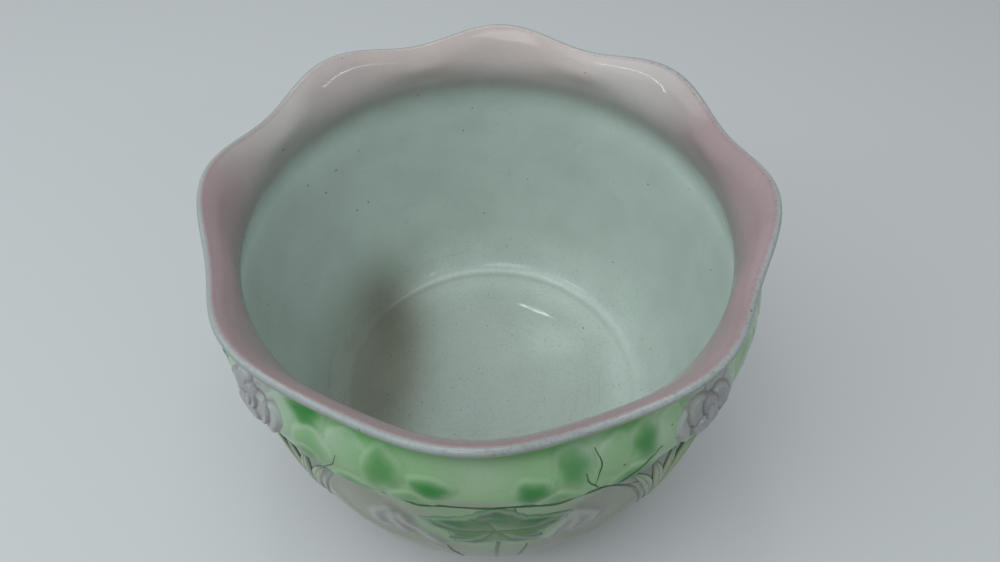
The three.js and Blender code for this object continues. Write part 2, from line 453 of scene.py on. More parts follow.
# %% Colours


def colour(code):
    """A colour code as a painter's list has it, in Blender's linear values."""
    values = np.array([int(code[i:i + 2], 16) / 255 for i in (0, 2, 4)])
    return np.where(values <= 0.04045, values / 12.92, ((values + 0.055) / 1.055)**2.4)


WHITE = colour("b6c4bd")
LIP_WHITE = colour("909a9a")
INNER = colour("c1cfc9")
PINK = colour("998689")
LIT_PINK = colour("b4aaa8")
BUFF = colour("9d9a8c")
MINT = colour("8fba88")
GREEN = colour("1b7f2a")
DARK_GREEN = colour("1d4a26")
LILAC = colour("716a80")
PANEL = colour("8a957d")
GILT = colour("b39a7c")
THROAT_SHADE = colour("7f8681")
LIT_THROAT_WHITE = colour("c9dbd4")
LIT_COVE_WHITE = colour("c4d4cc")
FLOOR_WHITE = colour("adbab3")
REFLECTED_WHITE = colour("cbdad2")
BASE_WHITE = colour("a3a8a4")
STAIN_AND_SHADE = colour("625d49")
FLOOR_LINE = colour("6d6a58")
UNDER_LIP_DARK = colour("5b5a48")


def brush(paint, *strokes):
    """Lays tints over the paint one by one, each by an amount that goes from 0 to 1."""
    for tint, amount in strokes:
        share = np.clip(np.broadcast_to(amount, paint.shape[:-1]), 0, 1)[..., None]
        paint = paint * (1 - share) + tint * share
    return paint


# %% Paint of the outside
FLOWER_AZIMUTH = 46.5               # the first flower, and the fan below it
FAN_ROOT, FAN_TIP = 40, 142         # heights of a fan's two ends


def fan_half(level):
    """Half the width of a fan at a height, in mm."""
    up = (level - FAN_ROOT) / (FAN_TIP - FAN_ROOT)
    return 3 + 27 * up + 16 * up**4


def fan():
    """1 under the fans of long leaves, which spread upwards below each flower."""
    half = fan_half(np.clip(height, FAN_ROOT, FAN_TIP))
    beside = np.abs(across_from(FLOWER_AZIMUTH))
    return (1 - smooth(beside, half - 2, half + 2)) * smooth(height, 38, 44)


band, wall = zone("band", "step", "under_lip"), zone("wall")
low_middle = smooth(drop, 34, 45) * (1 - smooth(spot((1.5, 44), (17, 9)), 0.5, 1.1))
top_row = bell(drop, 12, 3.5) * smooth(local, -34, -28) * (1 - smooth(local, 30, 36))
hanging = bell(drop, 53, 6) * np.maximum(bell(local, 31, 5), bell(local, -31, 4)) * wall
white_places = [((-24, 22), (9, 10)), ((22, 18), (9, 8)), ((35, 26), (7, 14)), ((-37, 30), (6, 14))]
paint = brush(
    np.broadcast_to(PANEL, (*shape, 3)),
    (MINT, np.maximum(band, 0.9 * (garland > 0.05))),
    (MINT, 0.75 * wall * (1 - smooth(drop, 56, 66)) * (1 - dish())),
    (BUFF, 0.85 * zone("band", "step", "wall") * low_middle),
    (WHITE, 0.40 * band * np.exp(-spot((2.5, 22), (13, 14))**2)),
    (WHITE, 0.35 * band * bell(local, -36, 4)),
    (GREEN, 0.55 * band * top_row),
    *((WHITE, 0.40 * band * np.exp(-spot(*place)**2)) for place in white_places),
    (GREEN, 0.95 * green_dabs),
    # painted highlights on the upper edges of the leaves, and painted shade in the folds round them
    (WHITE, 0.28 * edge_highlights),
    (GREEN * 0.8, 0.22 * folds),
    (GREEN * 0.7, 0.9 * hanging),
    (DARK_GREEN, 0.92 * fan() * wall),
    (MINT, 0.55 * wall * (1 - smooth(spot((4, 126), (19, 30)), 0.2, 1.2))),
    (MINT, 0.8 * wall * (1 - smooth(spot((4, 84), (38, 34)), 0.7, 1.1))),
    (LILAC, 0.7 * petals * (1 - petal_highlights)),
    # painted highlight on the petals
    (WHITE, 0.6 * petal_highlights))
print("outside painted")

# %% Paint of the lip and the inside


def floor_spot(x, y, half_x, half_y):
    """0 at a place on the inner floor, and 1 on an ellipse round it."""
    across, away = radius * np.sin(turned) - x, -radius * np.cos(turned) - y
    return (across / half_x)**2 + (away / half_y)**2


lip, inner = zone("lip"), zone("inside", "floor")
across_lip = (LENGTHS[None, :] - LENGTHS[ZONES == "lip"][0]) / LIP_RADIUS
pink = np.where(lip > 0, smooth(across_lip, 2.1, 2.8), smooth(30 - drop, -14, 14))
pink = 0.95 * pink * zone("lip", "flare", "throat", "inside")
# The far side of the flare is painted a paler pink: painted light.
lit_far_side = smooth(-np.cos(np.radians(azimuth - 14)), 0.15, 0.95)
far_floor = smooth(-np.cos(turned), 0.2, 0.9)
side_shade = np.sin(np.radians(azimuth - 10))**2 * bell(drop, 80, 60) * zone("inside")
flat_share = (1 - smooth(radius, 66, 101)) * inner * smooth(drop, 150, 172)
# A brown stain on the left of the floor, deepened with painted shadow of the left wall.
stained_and_shaded = np.exp(-floor_spot(-78, 2, 34, 84)**1.6) * inner * smooth(drop, 120, 168)
darkest_stain_and_shade = np.exp(-floor_spot(-78, 50, 17, 27)) * inner * smooth(drop, 135, 165)
paint = brush(
    paint,
    # a dark line painted in the groove just under the lip
    (UNDER_LIP_DARK, 0.5 * bell(drop, 5.0, 2.0) * zone("under_lip", "band")),
    (LIP_WHITE, lip),
    (INNER, zone("throat", "inside", "floor", "flare")),
    (PINK, pink * (1 - lit_far_side)),
    (LIT_PINK, pink * lit_far_side),
    (INNER * 0.6, 0.40 * side_shade),
    # a grey band of painted shade in the hollow under the flare
    (THROAT_SHADE, 0.5 * bell(drop, 21, 8) * zone("flare", "throat")),
    # a lighter band of painted light below the throat
    (LIT_THROAT_WHITE, 0.55 * bell(drop, 46, 9) * zone("throat", "inside")),
    # a lighter ring of painted light round the cove
    (LIT_COVE_WHITE, 0.6 * bell(drop, 160, 12) * zone("inside")),
    (FLOOR_WHITE, flat_share),
    (STAIN_AND_SHADE, 0.72 * stained_and_shaded),
    (STAIN_AND_SHADE * 0.8, 0.55 * darkest_stain_and_shade),
    (FLOOR_LINE, (0.12 + 0.16 * far_floor) * floor_edge),
    # a pale spot on the floor, painted as the reflection of the bright band on the wall
    (REFLECTED_WHITE, 0.5 * np.exp(-floor_spot(40, 34, 18, 16)) * zone("floor")),
    (BASE_WHITE, zone("base")))
kept_gilding = 0.92 + 0.20 * bell(azimuth, 334, 14) + 0.15 * bell(azimuth, 22, 9)
gild = lip * bell(across_lip, 0.55, 0.5) * kept_gilding
print("inside painted")

# %% [markdown]
# ## Rolling the sheet into a bowl
# The tree samples the outline at each point's Y for its radius and height, adds the
# rim's waves, turns the point round the axis by its X, closes the seam and the poles,
# and last of all lifts every point along its normal by the relief.

# %% The tree that rolls the sheet
roll, given = geometry_tree("roll_the_bowl", {
    "Outline": "Object", "Waves": "Float", "Wave out": "Float", "Wave up": "Float",
    "Fade start": "Float", "Fade end": "Float", "Relief": "Float", "Glaze": "Material"})
outline_mesh = node(roll, "GeometryNodeObjectInfo", {"Object": given["Outline"]})
outline_curve = node(roll, "GeometryNodeMeshToCurve", {"Mesh": outline_mesh.outputs["Geometry"]})
flat = parts(roll, node(roll, "GeometryNodeInputPosition"))
sample = node(roll, "GeometryNodeSampleCurve", {
    "Curves": outline_curve, "Length": flat["Y"]}, mode="LENGTH", use_all_curves=True)
section = parts(roll, sample.outputs["Position"])
fade = remap(roll, section["Z"], given["Fade start"], given["Fade end"],
             interpolation_type="SMOOTHSTEP")
wave = times(roll, fade, maths(roll, "COSINE", times(roll, flat["X"], given["Waves"])))
out = maths(roll, "MULTIPLY_ADD", wave, given["Wave out"], section["X"])
up = maths(roll, "MULTIPLY_ADD", wave, given["Wave up"], section["Z"])
x = times(roll, out, maths(roll, "SINE", flat["X"]))
y = times(roll, out, maths(roll, "COSINE", flat["X"]))
place = node(roll, "ShaderNodeCombineXYZ", {"X": x, "Y": times(roll, y, -1.0), "Z": up})
rolled = node(roll, "GeometryNodeSetPosition", {"Geometry": given["Geometry"], "Position": place})
closed = node(roll, "GeometryNodeMergeByDistance", {"Geometry": rolled, "Distance": 2e-6})
lift = node(roll, "GeometryNodeInputNamedAttribute", {"Name": "relief"}, data_type="FLOAT")
away = scaled(roll, node(roll, "GeometryNodeInputNormal"),
              times(roll, lift.outputs["Attribute"], given["Relief"]))
lifted = node(roll, "GeometryNodeSetPosition", {"Geometry": closed, "Offset": away})
end_tree(roll, lifted, given["Glaze"])

# %% Mesh helpers


def mesh_object(name, points, faces=(), edges=()):
    """A mesh object at the origin, from points in mm."""
    mesh = bpy.data.meshes.new(name)
    mesh.from_pydata([tuple(p) for p in np.asarray(points) * MM], list(edges), list(faces))
    return add(name, mesh)


def store(piece, name, values):
    """Keeps one number or one colour for each point of a mesh."""
    values = np.asarray(values, np.float32)
    kind, field = "FLOAT", "value"
    if values.ndim == 2:
        values = np.column_stack([values, np.ones(len(values), np.float32)])
        kind, field = "FLOAT_COLOR", "color"
    piece.data.attributes.new(name, kind, "POINT").data.foreach_set(field, values.ravel())


def spread(values):
    """Values for each point of the sheet, in the order of its points."""
    return np.broadcast_to(values, shape).ravel()


def volume(piece):
    """Signed volume in litres: above 0 when the faces point outwards."""
    piece.data.calc_loop_triangles()
    corners = np.array([v.co for v in piece.data.vertices])
    triangles = np.array([t.vertices[:] for t in piece.data.loop_triangles])
    a, b, c = corners[triangles].swapaxes(0, 1)
    return 1000 * np.einsum("ij,ij->i", a, np.cross(b, c)).sum() / 6


# %% [markdown]
# ## Glaze materials
# All pieces share one clear glaze over different paint. The paint comes from the
# points' colours; noise on Object coordinates adds the uneven wash, fine specks of
# iron in the clay, and a web of hairline crazing that has gone slightly brown. The
# gloss is a little duller where the glaze is worn.

# %% The glaze
IRON_SPECK = (0.06, 0.05, 0.035)
CRAZE_LINE = (0.12, 0.09, 0.05)
RUBBED_EDGE = (0.14, 0.11, 0.09)
WATER_LINE = (0.14, 0.11, 0.06)
DUST = (0.10, 0.10, 0.07)


def stored(tree, name, output="Fac"):
    """A number or a colour that the mesh carries for each point."""
    return node(tree, "ShaderNodeAttribute", attribute_name=name).outputs[output]


def noise(tree, place, scale, detail):
    """Cloudy noise from 0 to 1."""
    return node(tree, "ShaderNodeTexNoise", {"Vector": place, "Scale": scale, "Detail": detail})


def tinted(tree, base, tint, amount):
    """The base colour with a tint laid over it."""
    return node(tree, "ShaderNodeMix", {"Factor": amount, 6: base, 7: (*tint, 1)},
                data_type="RGBA").outputs[2]


def specked(tree, place, base, amount):
    """Fine specks of iron all over, and finer ones where the bowl is dirty."""
    for scale, least, largest, where in ((160.0, 0.86, 0.13, 1.0),
                                         (420.0, 0.80, 0.20, stored(tree, "dirt"))):
        cell = node(tree, "ShaderNodeTexVoronoi", {"Vector": place, "Scale": scale}).outputs
        chosen = node(tree, "ShaderNodeSeparateColor", {0: cell["Color"]})
        size = remap(tree, chosen, least, 1.0, 0.0, largest)
        speck = times(tree, maths(tree, "LESS_THAN", cell["Distance"], size), amount)
        base = tinted(tree, base, IRON_SPECK, times(tree, speck, where))
    return base


def crazed(tree, place, base, cloud):
    """A web of hairline cracks in the glaze, stronger in some places than in others."""
    bend = noise(tree, place, 60.0, 2.0).outputs["Color"]
    bent = node(tree, "ShaderNodeVectorMath", {0: bend, 1: (0.01,) * 3, 2: place},
                operation="MULTIPLY_ADD")
    web = node(tree, "ShaderNodeTexVoronoi", {"Vector": bent, "Scale": 75.0},
               feature="DISTANCE_TO_EDGE").outputs["Distance"]
    crack = remap(tree, web, 0.0, 0.016, 0.16, 0.0)
    return tinted(tree, base, CRAZE_LINE, times(tree, crack, cloud))


def grime_inside(tree, place, base):
    """Brown hair-thin rings and a dusty haze where water stood in the bowl."""
    dirt = stored(tree, "dirt")
    x, y, z = parts(tree, place)
    reach = maths(tree, "SQRT", maths(tree, "ADD", times(tree, x, x), times(tree, y, y)))
    level = maths(tree, "SUBTRACT", reach, z)
    level = maths(tree, "MULTIPLY_ADD", noise(tree, place, 16.0, 3.0), 0.012, level)
    ring = maths(tree, "ABSOLUTE", maths(tree, "SINE", times(tree, level, 420.0)))
    thin = remap(tree, ring, 0.0, 0.10, 1.0, 0.0)
    broken = remap(tree, noise(tree, place, 24.0, 4.0), 0.54, 0.72, 0.0, 0.34)
    base = tinted(tree, base, WATER_LINE, times(tree, times(tree, thin, broken), dirt))
    haze = remap(tree, noise(tree, place, 520.0, 6.0), 0.52, 0.75, 0.0, 0.16)
    return tinted(tree, base, DUST, times(tree, haze, dirt))


def glaze(name, roughness, wash, specks, shine=0.22, gilded=False):
    """A clear glossy glaze over paint."""
    material = bpy.data.materials.new(name)
    material.use_nodes = True
    tree = material.node_tree
    shader = tree.nodes["Principled BSDF"]
    place = node(tree, "ShaderNodeTexCoord").outputs["Object"]
    cloud = noise(tree, place, 38.0, 5.0)
    base = scaled(tree, stored(tree, "paint", "Color"),
                  remap(tree, cloud, 0.3, 0.7, 1 - wash, 1 + wash))
    base = crazed(tree, place, specked(tree, place, base, specks), cloud)
    if gilded:
        base = grime_inside(tree, place, base)
        rubbed = remap(tree, noise(tree, place, 640.0, 5.0), 0.50, 0.72, 0.0, 0.4)
        base = tinted(tree, base, RUBBED_EDGE, times(tree, rubbed, stored(tree, "edge")))
        torn = times(tree, stored(tree, "gild"), noise(tree, place, 90.0, 6.0))
        left = remap(tree, torn, 0.34, 0.46)
        base = tinted(tree, base, GILT, left)
        fill(shader, {"Metallic": times(tree, left, 0.8)})
    worn = remap(tree, noise(tree, place, 14.0, 3.0), 0.35, 0.75, roughness, roughness + 0.08)
    skin = node(tree, "ShaderNodeBump", {
        "Strength": 0.07, "Distance": 0.0004, "Height": noise(tree, place, 120.0, 2.0)})
    fill(shader, {"Base Color": base, "Roughness": worn, "Normal": skin, "IOR": 1.5,
                  "Specular IOR Level": shine})
    return material


body_glaze = glaze("glaze_on_the_bowl", 0.06, wash=0.05, specks=0.6, shine=0.27, gilded=True)
flower_glaze = glaze("glaze_on_flowers", 0.08, wash=0.08, specks=0.2)
spray_glaze = glaze("glaze_on_long_leaves", 0.10, wash=0.14, specks=0.2)
vine_glaze = glaze("glaze_on_vine_leaves", 0.09, wash=0.12, specks=0.2)

# %% Make the bowl
rows = len(OUTLINE)
sheet_points = np.column_stack([
    spread(turned) / MM, spread(LENGTHS[None, :]), np.zeros(shape[0] * rows)])
corner = (np.arange(COLUMNS)[:, None] * rows + np.arange(rows - 1)[None, :]).ravel()
sheet_faces = np.column_stack([corner, corner + rows, corner + rows + 1, corner + 1])
sheet = mesh_object("sheet", sheet_points, faces=sheet_faces.tolist())
lip_wear = lip * (0.5 + 0.5 * smooth(np.sin(turned), -0.2, 0.4))
for name, values in (("relief", relief * MM), ("gild", gild), ("edge", lip_wear),
                     ("dirt", smooth(drop, 130, 176) * inner)):
    store(sheet, name, spread(values))
store(sheet, "paint", paint.reshape(-1, 3))
outline = mesh_object("outline", np.insert(OUTLINE, 1, 0, axis=1),
                      edges=[(i, i + 1) for i in range(rows - 1)])
bowl = made_by(roll, sheet, {
    "Outline": outline, "Waves": float(WAVES), "Wave out": WAVE_OUT * MM, "Wave up": WAVE_UP * MM,
    "Fade start": 172 * MM, "Fade end": 186 * MM, "Relief": 1.0, "Glaze": body_glaze},
    "jardiniere_bowl")
print("clay and glaze of the bowl:", round(volume(bowl), 3), "litres")

# %% [markdown]
# ## Pressing ornaments on the wall
# The flowers and leaves are modelled flat: X runs across, Y is the height above the
# foot, Z stands off the wall. The tree sends a ray from outside to the bowl's axis
# for each point, and puts the point where the ray meets the wall, plus its Z. The
# same flat ornament is pressed on four times, with another turn each time.

# %% The tree that presses an ornament on
RAY_LENGTH = 0.2                    # the rays start this far from the axis, in metres


def wall_place(tree, given):
    """Nodes that carry a flat point to the bowl's wall. Returns the new place."""
    flat = parts(tree, node(tree, "GeometryNodeInputPosition"))
    angle = maths(tree, "ADD", maths(tree, "DIVIDE", flat["X"], given["Radius"]), given["Turn"])
    outward = node(tree, "ShaderNodeCombineXYZ", {
        "X": maths(tree, "SINE", angle),
        "Y": times(tree, maths(tree, "COSINE", angle), -1.0)})
    level = node(tree, "ShaderNodeCombineXYZ", {"Z": flat["Y"]})
    far = node(tree, "ShaderNodeVectorMath", {0: outward, 1: (RAY_LENGTH,) * 3, 2: level},
               operation="MULTIPLY_ADD")
    wall = node(tree, "GeometryNodeObjectInfo", {"Object": given["Wall"]}).outputs["Geometry"]
    ray = node(tree, "GeometryNodeRaycast", {
        "Target Geometry": wall, "Source Position": far,
        "Ray Direction": scaled(tree, outward, -1.0), "Ray Length": RAY_LENGTH})
    stand = scaled(tree, outward, maths(tree, "SUBTRACT", flat["Z"], given["Sink"]))
    return node(tree, "ShaderNodeVectorMath", {0: ray.outputs["Hit Position"], 1: stand},
                operation="ADD")


WALL_SOCKETS = {"Wall": "Object", "Radius": "Float", "Turn": "Float", "Sink": "Float",
                "Glaze": "Material"}
press, given = geometry_tree("press_on_the_wall", WALL_SOCKETS)
pressed = node(press, "GeometryNodeSetPosition", {
    "Geometry": given["Geometry"], "Position": wall_place(press, given)})
end_tree(press, pressed, given["Glaze"])

# %% [markdown]
# ## A flat ornament
# Every ornament is a closed patch: rings of points round a middle, once for the front
# and once for the back, joined at the edge. A function says where a point of a ring
# lies and how high it stands, and another gives its paint.

# %% Build a patch


def patch(name, rings, directions, place_of, paint_of):
    """A closed flat ornament. place_of gives x, y and z in mm for a share and a direction."""
    share = np.concatenate([[0], np.repeat(np.arange(1, rings + 1) / rings, directions)])
    way = np.concatenate([[0], np.tile(np.arange(directions) * 2 * np.pi / directions, rings)])
    x, y, z = place_of(share, way)
    front = np.column_stack([x, y, z])
    back = np.column_stack([x, y, np.zeros(len(x))])
    size = len(x)
    pairs = [(a, (a + 1) % directions) for a in range(directions)]
    faces = [(0, 1 + a, 1 + b) for a, b in pairs]
    for ring in range(rings - 1):
        inner, outer = 1 + ring * directions, 1 + (ring + 1) * directions
        faces += [(inner + a, outer + a, outer + b, inner + b) for a, b in pairs]
    behind = [tuple(size + i for i in reversed(face)) for face in faces]
    edge = 1 + (rings - 1) * directions
    sides = [(edge + a, size + edge + a, size + edge + b, edge + b) for a, b in pairs]
    made = mesh_object(name, np.vstack([front, back]), faces=faces + behind + sides)
    colours = paint_of(x, y, share, way)
    store(made, "paint", np.vstack([colours, colours]))
    return made


# %% [markdown]
# ## Vine leaves
# A vine leaf stands under the band at each quarter, one lobe pointing up. It is soft:
# the mould was worn and the glaze lies thick. Veins run from a knot in its middle into
# the lobes, with the glaze pooled dark in them, a dab of green fills each lobe, and
# the edge melts into the wall.

# %% Shape and paint of a vine leaf
LEAF_AZIMUTH = 5
LEAF_MIDDLE = 110.0
LEAF_HALF = np.array([37.0, 32.0])
LEAF_GREEN = colour("6c8e5e")
EDGE = 0.55                                       # an ornament's thickness at its edge
LOBES = np.radians(90 + 72 * np.arange(5))
VEIN_BEND = (0.12, 0.16, 0.10, -0.10, -0.14)
DAB_TURN = np.radians([4, -8, -6, 8, 14])         # each dab lies beside its lobe's vein


def on_leaf(direction, share=1.0):
    """A place in a direction, as a share of the way to the leaf's half size."""
    return share * (LEAF_HALF * [math.cos(direction), math.sin(direction)])


def leaf_reach(way):
    """How far the leaf reaches in each direction, as a share of its half size."""
    notch = np.abs(np.sin(2.5 * (way - np.pi / 2)))
    teeth = 0.045 * np.abs(np.sin(12.5 * (way - np.pi / 2)))
    lower = 0.10 * smooth(-np.sin(way), 0.2, 0.9)
    return 1 - 0.30 * notch**1.5 - teeth - lower + 0.02 * np.sin(3 * way + 1) * notch


def vein_paths():
    """The main vein of each lobe, bent a little as it runs out."""
    paths = []
    for lobe, bend in zip(LOBES, VEIN_BEND):
        tip = on_leaf(lobe)
        across = np.array([-tip[1], tip[0]])
        paths.append([(0, 0), 0.45 * tip + bend * across, 0.86 * tip])
    return paths


VEINS = vein_paths()


def from_vein(x, y):
    """Distance to the nearest vein in mm."""
    return np.min([line_distance(x, y, path) for path in VEINS], axis=0)


def leaf_place(share, way):
    """Where a point of the leaf lies, and how high it stands."""
    reach = share * leaf_reach(way)
    x, y = LEAF_HALF[0] * reach * np.cos(way), LEAF_HALF[1] * reach * np.sin(way)
    vein = from_vein(x, y)
    swell = 1.7 * np.sqrt(np.clip(1 - share**2.5, 0, 1)) * (0.5 + 0.5 * smooth(vein, 0, 7))
    groove = 0.5 * bell(vein, 0, 1.1) * (1 - share)
    return x, LEAF_MIDDLE + y, np.maximum(EDGE, EDGE + swell - groove)


def leaf_paint(x, y, share, way):
    """A green dab in each lobe, a painted highlight on the upper edge, and dark veins."""
    y = y - LEAF_MIDDLE
    done = np.tile(LEAF_GREEN, (len(x), 1))
    for direction in LOBES + DAB_TURN:
        middle = on_leaf(direction, 0.64)
        near = np.hypot(x - middle[0], y - middle[1]) / 11.5
        done = brush(done, (GREEN * 0.75, 0.97 * np.exp(-near**3.4)))
    # The pale edge on the upper part of the leaf is a painted highlight.
    return brush(done, (WHITE, 0.45 * bell(share, 0.93, 0.06) * (y > -8)),
                 (DARK_GREEN, 0.5 * bell(from_vein(x, y), 0, 0.8) * (1 - 0.8 * share)))


flat_leaf = patch("flat_leaf", 26, 150, leaf_place, leaf_paint)

# %% [markdown]
# ## Flowers
# Each flower is a low relief of broad folded petals round a tight heart, like a
# full-blown rose. The petals are laid on from the outermost to the heart: each is a
# dome that tips up at its free edge, hides what is below, and leaves a fold beside it.
# A little lilac was brushed on half way out, and the folds carry brown and painted shade.

# %% Shape and paint of a flower
FLOWER_MIDDLE = 160.0
FLOWER_HALF = (20.0, 17.0)
PETAL_WHITE = colour("a2aba7")
PETAL_LILAC = colour("857c90")
PETAL_EDGE = colour("a9b4ae")
FOLD_BROWN_AND_SHADE = colour("625650")
FLOWER_PETALS = [  # middle, half size as a share of the flower, tilt, height in mm
    ((-0.42, 0.50), (0.52, 0.44), 30, 0.7),
    ((0.44, 0.48), (0.50, 0.46), -30, 0.8),
    ((0.40, -0.55), (0.50, 0.40), 25, 0.8),
    ((-0.36, -0.56), (0.52, 0.40), -25, 0.9),
    ((-0.64, -0.02), (0.36, 0.60), 6, 1.3),
    ((0.66, -0.04), (0.33, 0.58), -6, 1.4),
    ((-0.24, 0.22), (0.36, 0.50), 16, 1.9),
    ((0.30, -0.02), (0.34, 0.54), -12, 2.2),
    ((-0.10, -0.32), (0.42, 0.30), -10, 2.5),
    ((0.02, 0.20), (0.22, 0.34), 10, 2.8),
    ((-0.04, 0.06), (0.11, 0.20), -10, 3.2),
]


def open_petals(u, v):
    """Height of the petals in mm, and how deep in a fold each place lies."""
    top, fold = np.zeros(len(u)), np.zeros(len(u))
    for (mu, mv), half, tilt, level in FLOWER_PETALS:
        out = np.hypot(*in_ellipse(u - mu, v - mv, half, tilt))
        inside = 1 - smooth(out, 0.90, 1.06)
        dome = level + 0.5 * np.sqrt(np.clip(1 - out**2, 0, 1)) + 0.45 * bell(out, 0.86, 0.12)
        top = top * (1 - inside) + inside * dome
        fold = np.maximum(fold, bell(out, 1.08, 0.10)) * (1 - inside)
    return top, fold


def flower_place(share, way):
    """Where a point of the flower lies, and how high it stands."""
    scallop = 1 - 0.13 * (1 - np.sqrt(np.abs(np.cos(2.5 * (way - np.pi / 2)))))
    u, v = share * scallop * np.cos(way), share * scallop * np.sin(way)
    top, fold = open_petals(u, v)
    top = (top - 0.4 * fold) * (1 - smooth(share, 0.86, 1.0)) + EDGE
    return FLOWER_HALF[0] * u, FLOWER_MIDDLE + FLOWER_HALF[1] * v, np.maximum(EDGE, top)


def flower_paint(x, y, share, way):
    """White, with lilac half way out, brown and painted shade in the folds, and a paler edge."""
    fold = open_petals(x / FLOWER_HALF[0], (y - FLOWER_MIDDLE) / FLOWER_HALF[1])[1]
    return brush(np.tile(PETAL_WHITE, (len(x), 1)),
                 (PETAL_LILAC, 0.50 * bell(share, 0.40, 0.25)),
                 # brown and painted shade where the petals overlap
                 (FOLD_BROWN_AND_SHADE, 0.55 * fold),
                 (PETAL_EDGE, 0.4 * smooth(share, 0.7, 1)))


flat_flower = patch("flat_flower", 44, 130, flower_place, flower_paint)

# %% [markdown]
# ## Fans of long leaves
# Below each flower a fan of long pointed leaves spreads upwards from a narrow root.
# Each is a thin blade with a sunken midrib. The wall between them is painted dark
# green, so that the gaps read as deep shadow.

# %% Shape and paint of a fan
BLADES = 7
BLADE_GREEN = colour("90aa78")


def blade(index):
    """One leaf of the fan as a closed patch. Every second one is shorter and thicker."""
    lean = -0.86 + 1.72 * index / (BLADES - 1)
    odd = index % 2
    tip = FAN_TIP - 3 * lean**2 - 2 * odd
    root = FAN_ROOT + 1 + 4 * abs(lean)

    def place_of(share, way):
        level = (root + tip) / 2 + (tip - root) / 2 * share * np.sin(way)
        up = np.clip((level - root) / (tip - root), 0, 1)
        width = 0.138 * fan_half(level) * np.sin(np.pi * up**1.25)**0.6 + 0.3
        side = share * np.cos(way)
        dome = (1.0 + 0.5 * odd) * np.sqrt(np.clip(1 - share**2, 0, 1))
        return lean * fan_half(level) + side * width, level, 0.7 + dome - 0.35 * bell(side, 0, 0.16)

    def paint_of(x, y, share, way):
        return brush(np.tile(BLADE_GREEN, (len(x), 1)),
                     (GREEN, 0.45 * smooth(y, 118, 140)),
                     (DARK_GREEN, 0.8 * bell(share * np.cos(way), 0, 0.12)),
                     (DARK_GREEN, 0.8 * smooth(share, 0.80, 1)))

    return patch("flat_blade", 8, 56, place_of, paint_of)


blades = [blade(index) for index in range(BLADES)]
flat_fan = blades[0]
with bpy.context.temp_override(active_object=flat_fan, selected_editable_objects=blades):
    bpy.ops.object.join()
flat_fan.name = "flat_fan"

# %% [markdown]
# ## Pressing them on
# Each ornament takes the place of its CAD node, and sinks a little into the wall, as
# slip and glaze fill the joint of a real one.

# %% Press, name and ride
SINK = 0.5 * MM
CORNERS = ["front_right", "back_right", "back_left", "front_left"]
SIDES = ["front", "right", "back", "left"]


def press_on(flat, node_name, turn, material):
    """Presses a flat ornament on the wall in place of a CAD node."""
    piece = made_by(press, flat, {
        "Wall": bowl, "Radius": RIM_RADIUS * MM, "Turn": math.radians(turn),
        "Sink": SINK, "Glaze": material}, node_name + "_glazed")
    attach(piece, "root")
    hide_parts(node_name)


for index, corner in enumerate(CORNERS):
    turn = FLOWER_AZIMUTH + QUARTER * index
    press_on(flat_flower, "flower_" + corner, turn, flower_glaze)
    press_on(flat_fan, "leaf_spray_" + corner, turn, spray_glaze)
for index, side in enumerate(SIDES):
    turn = LEAF_AZIMUTH + QUARTER * index
    press_on(flat_leaf, "vine_leaf_" + side, turn, vine_glaze)

# %% [markdown]
# ## Twigs
# A thin twig runs along the lower edge of the garland, with knots, short shoots and
# the long stalks that frame each dish, and a thicker stem climbs to each vine leaf.
# They are drawn as lines on the flat wall. The tree presses the lines on, sweeps a
# round section along them, and repeats the quarter four times round the bowl.

# %% The lines of one quarter: width in mm, then places as azimuth and drop
TWIG_GREEN = colour("3a663c")
TWIGS = [
    (0.9, [(-43, 48), (-36, 47), (-31, 47), (-26.5, 51.5), (-22, 52.5), (-17, 50.5), (-13, 51.5),
           (-9, 54), (-5, 51.5), (0, 50.5), (7, 50.5), (12, 52.5), (16, 54.5), (20, 52.5),
           (24.5, 53.5), (30, 55), (37, 50), (47, 48)]),
    (1.1, [(24.5, 53), (28, 60), (31.5, 70), (34.4, 82), (37.4, 100), (40, 120), (43.5, 147)]),
    (1.0, [(-25.5, 52), (-28.5, 66), (-31.5, 82), (-34.5, 104), (-40.5, 147)]),
    (0.65, [(20.4, 28), (21, 35), (22.4, 40), (23.5, 47), (24.6, 54)]),
    (0.45, [(22.2, 17), (23.3, 25), (22.8, 32), (22.2, 39)]),
    (0.7, [(24.5, 51), (27, 45), (31, 38.5), (35.5, 33)]),
    (0.45, [(-25.5, 51), (-26.5, 44), (-24, 36), (-23, 28)]),
    (0.6, [(8.2, 51), (8.6, 57), (8, 64), (5.6, 74)]),
    (1.3, [(5, 84), (5.4, 100), (5.0, 122), (5, 148)]),
    (0.8, [(-5.5, 112), (-4.6, 128), (-3, 148)]),
    (0.8, [(11.5, 110), (10.8, 128), (10, 148)]),
    (0.6, [(30, 66), (35, 76), (38.5, 92), (43.5, 130)]),
]


def soft_line(places, gap=1.5):
    """A smooth line through places on the wall, as flat points in mm."""
    flat_points = np.array([(a * MM_PER_DEGREE, RIM_HEIGHT - d) for a, d in places], float)
    ends = np.vstack([2 * flat_points[0] - flat_points[1], flat_points,
                      2 * flat_points[-1] - flat_points[-2]])
    line = []
    for p0, p1, p2, p3 in zip(ends, ends[1:], ends[2:], ends[3:]):
        steps = max(2, int(np.hypot(*(p2 - p1)) / gap))
        t = np.linspace(0, 1, steps, endpoint=False)[:, None]
        line.append(0.5 * (2 * p1 + (p2 - p0) * t + (2 * p0 - 5 * p1 + 4 * p2 - p3) * t**2
                           + (3 * p1 - p0 - 3 * p2 + p3) * t**3))
    return np.vstack([*line, flat_points[-1:]])


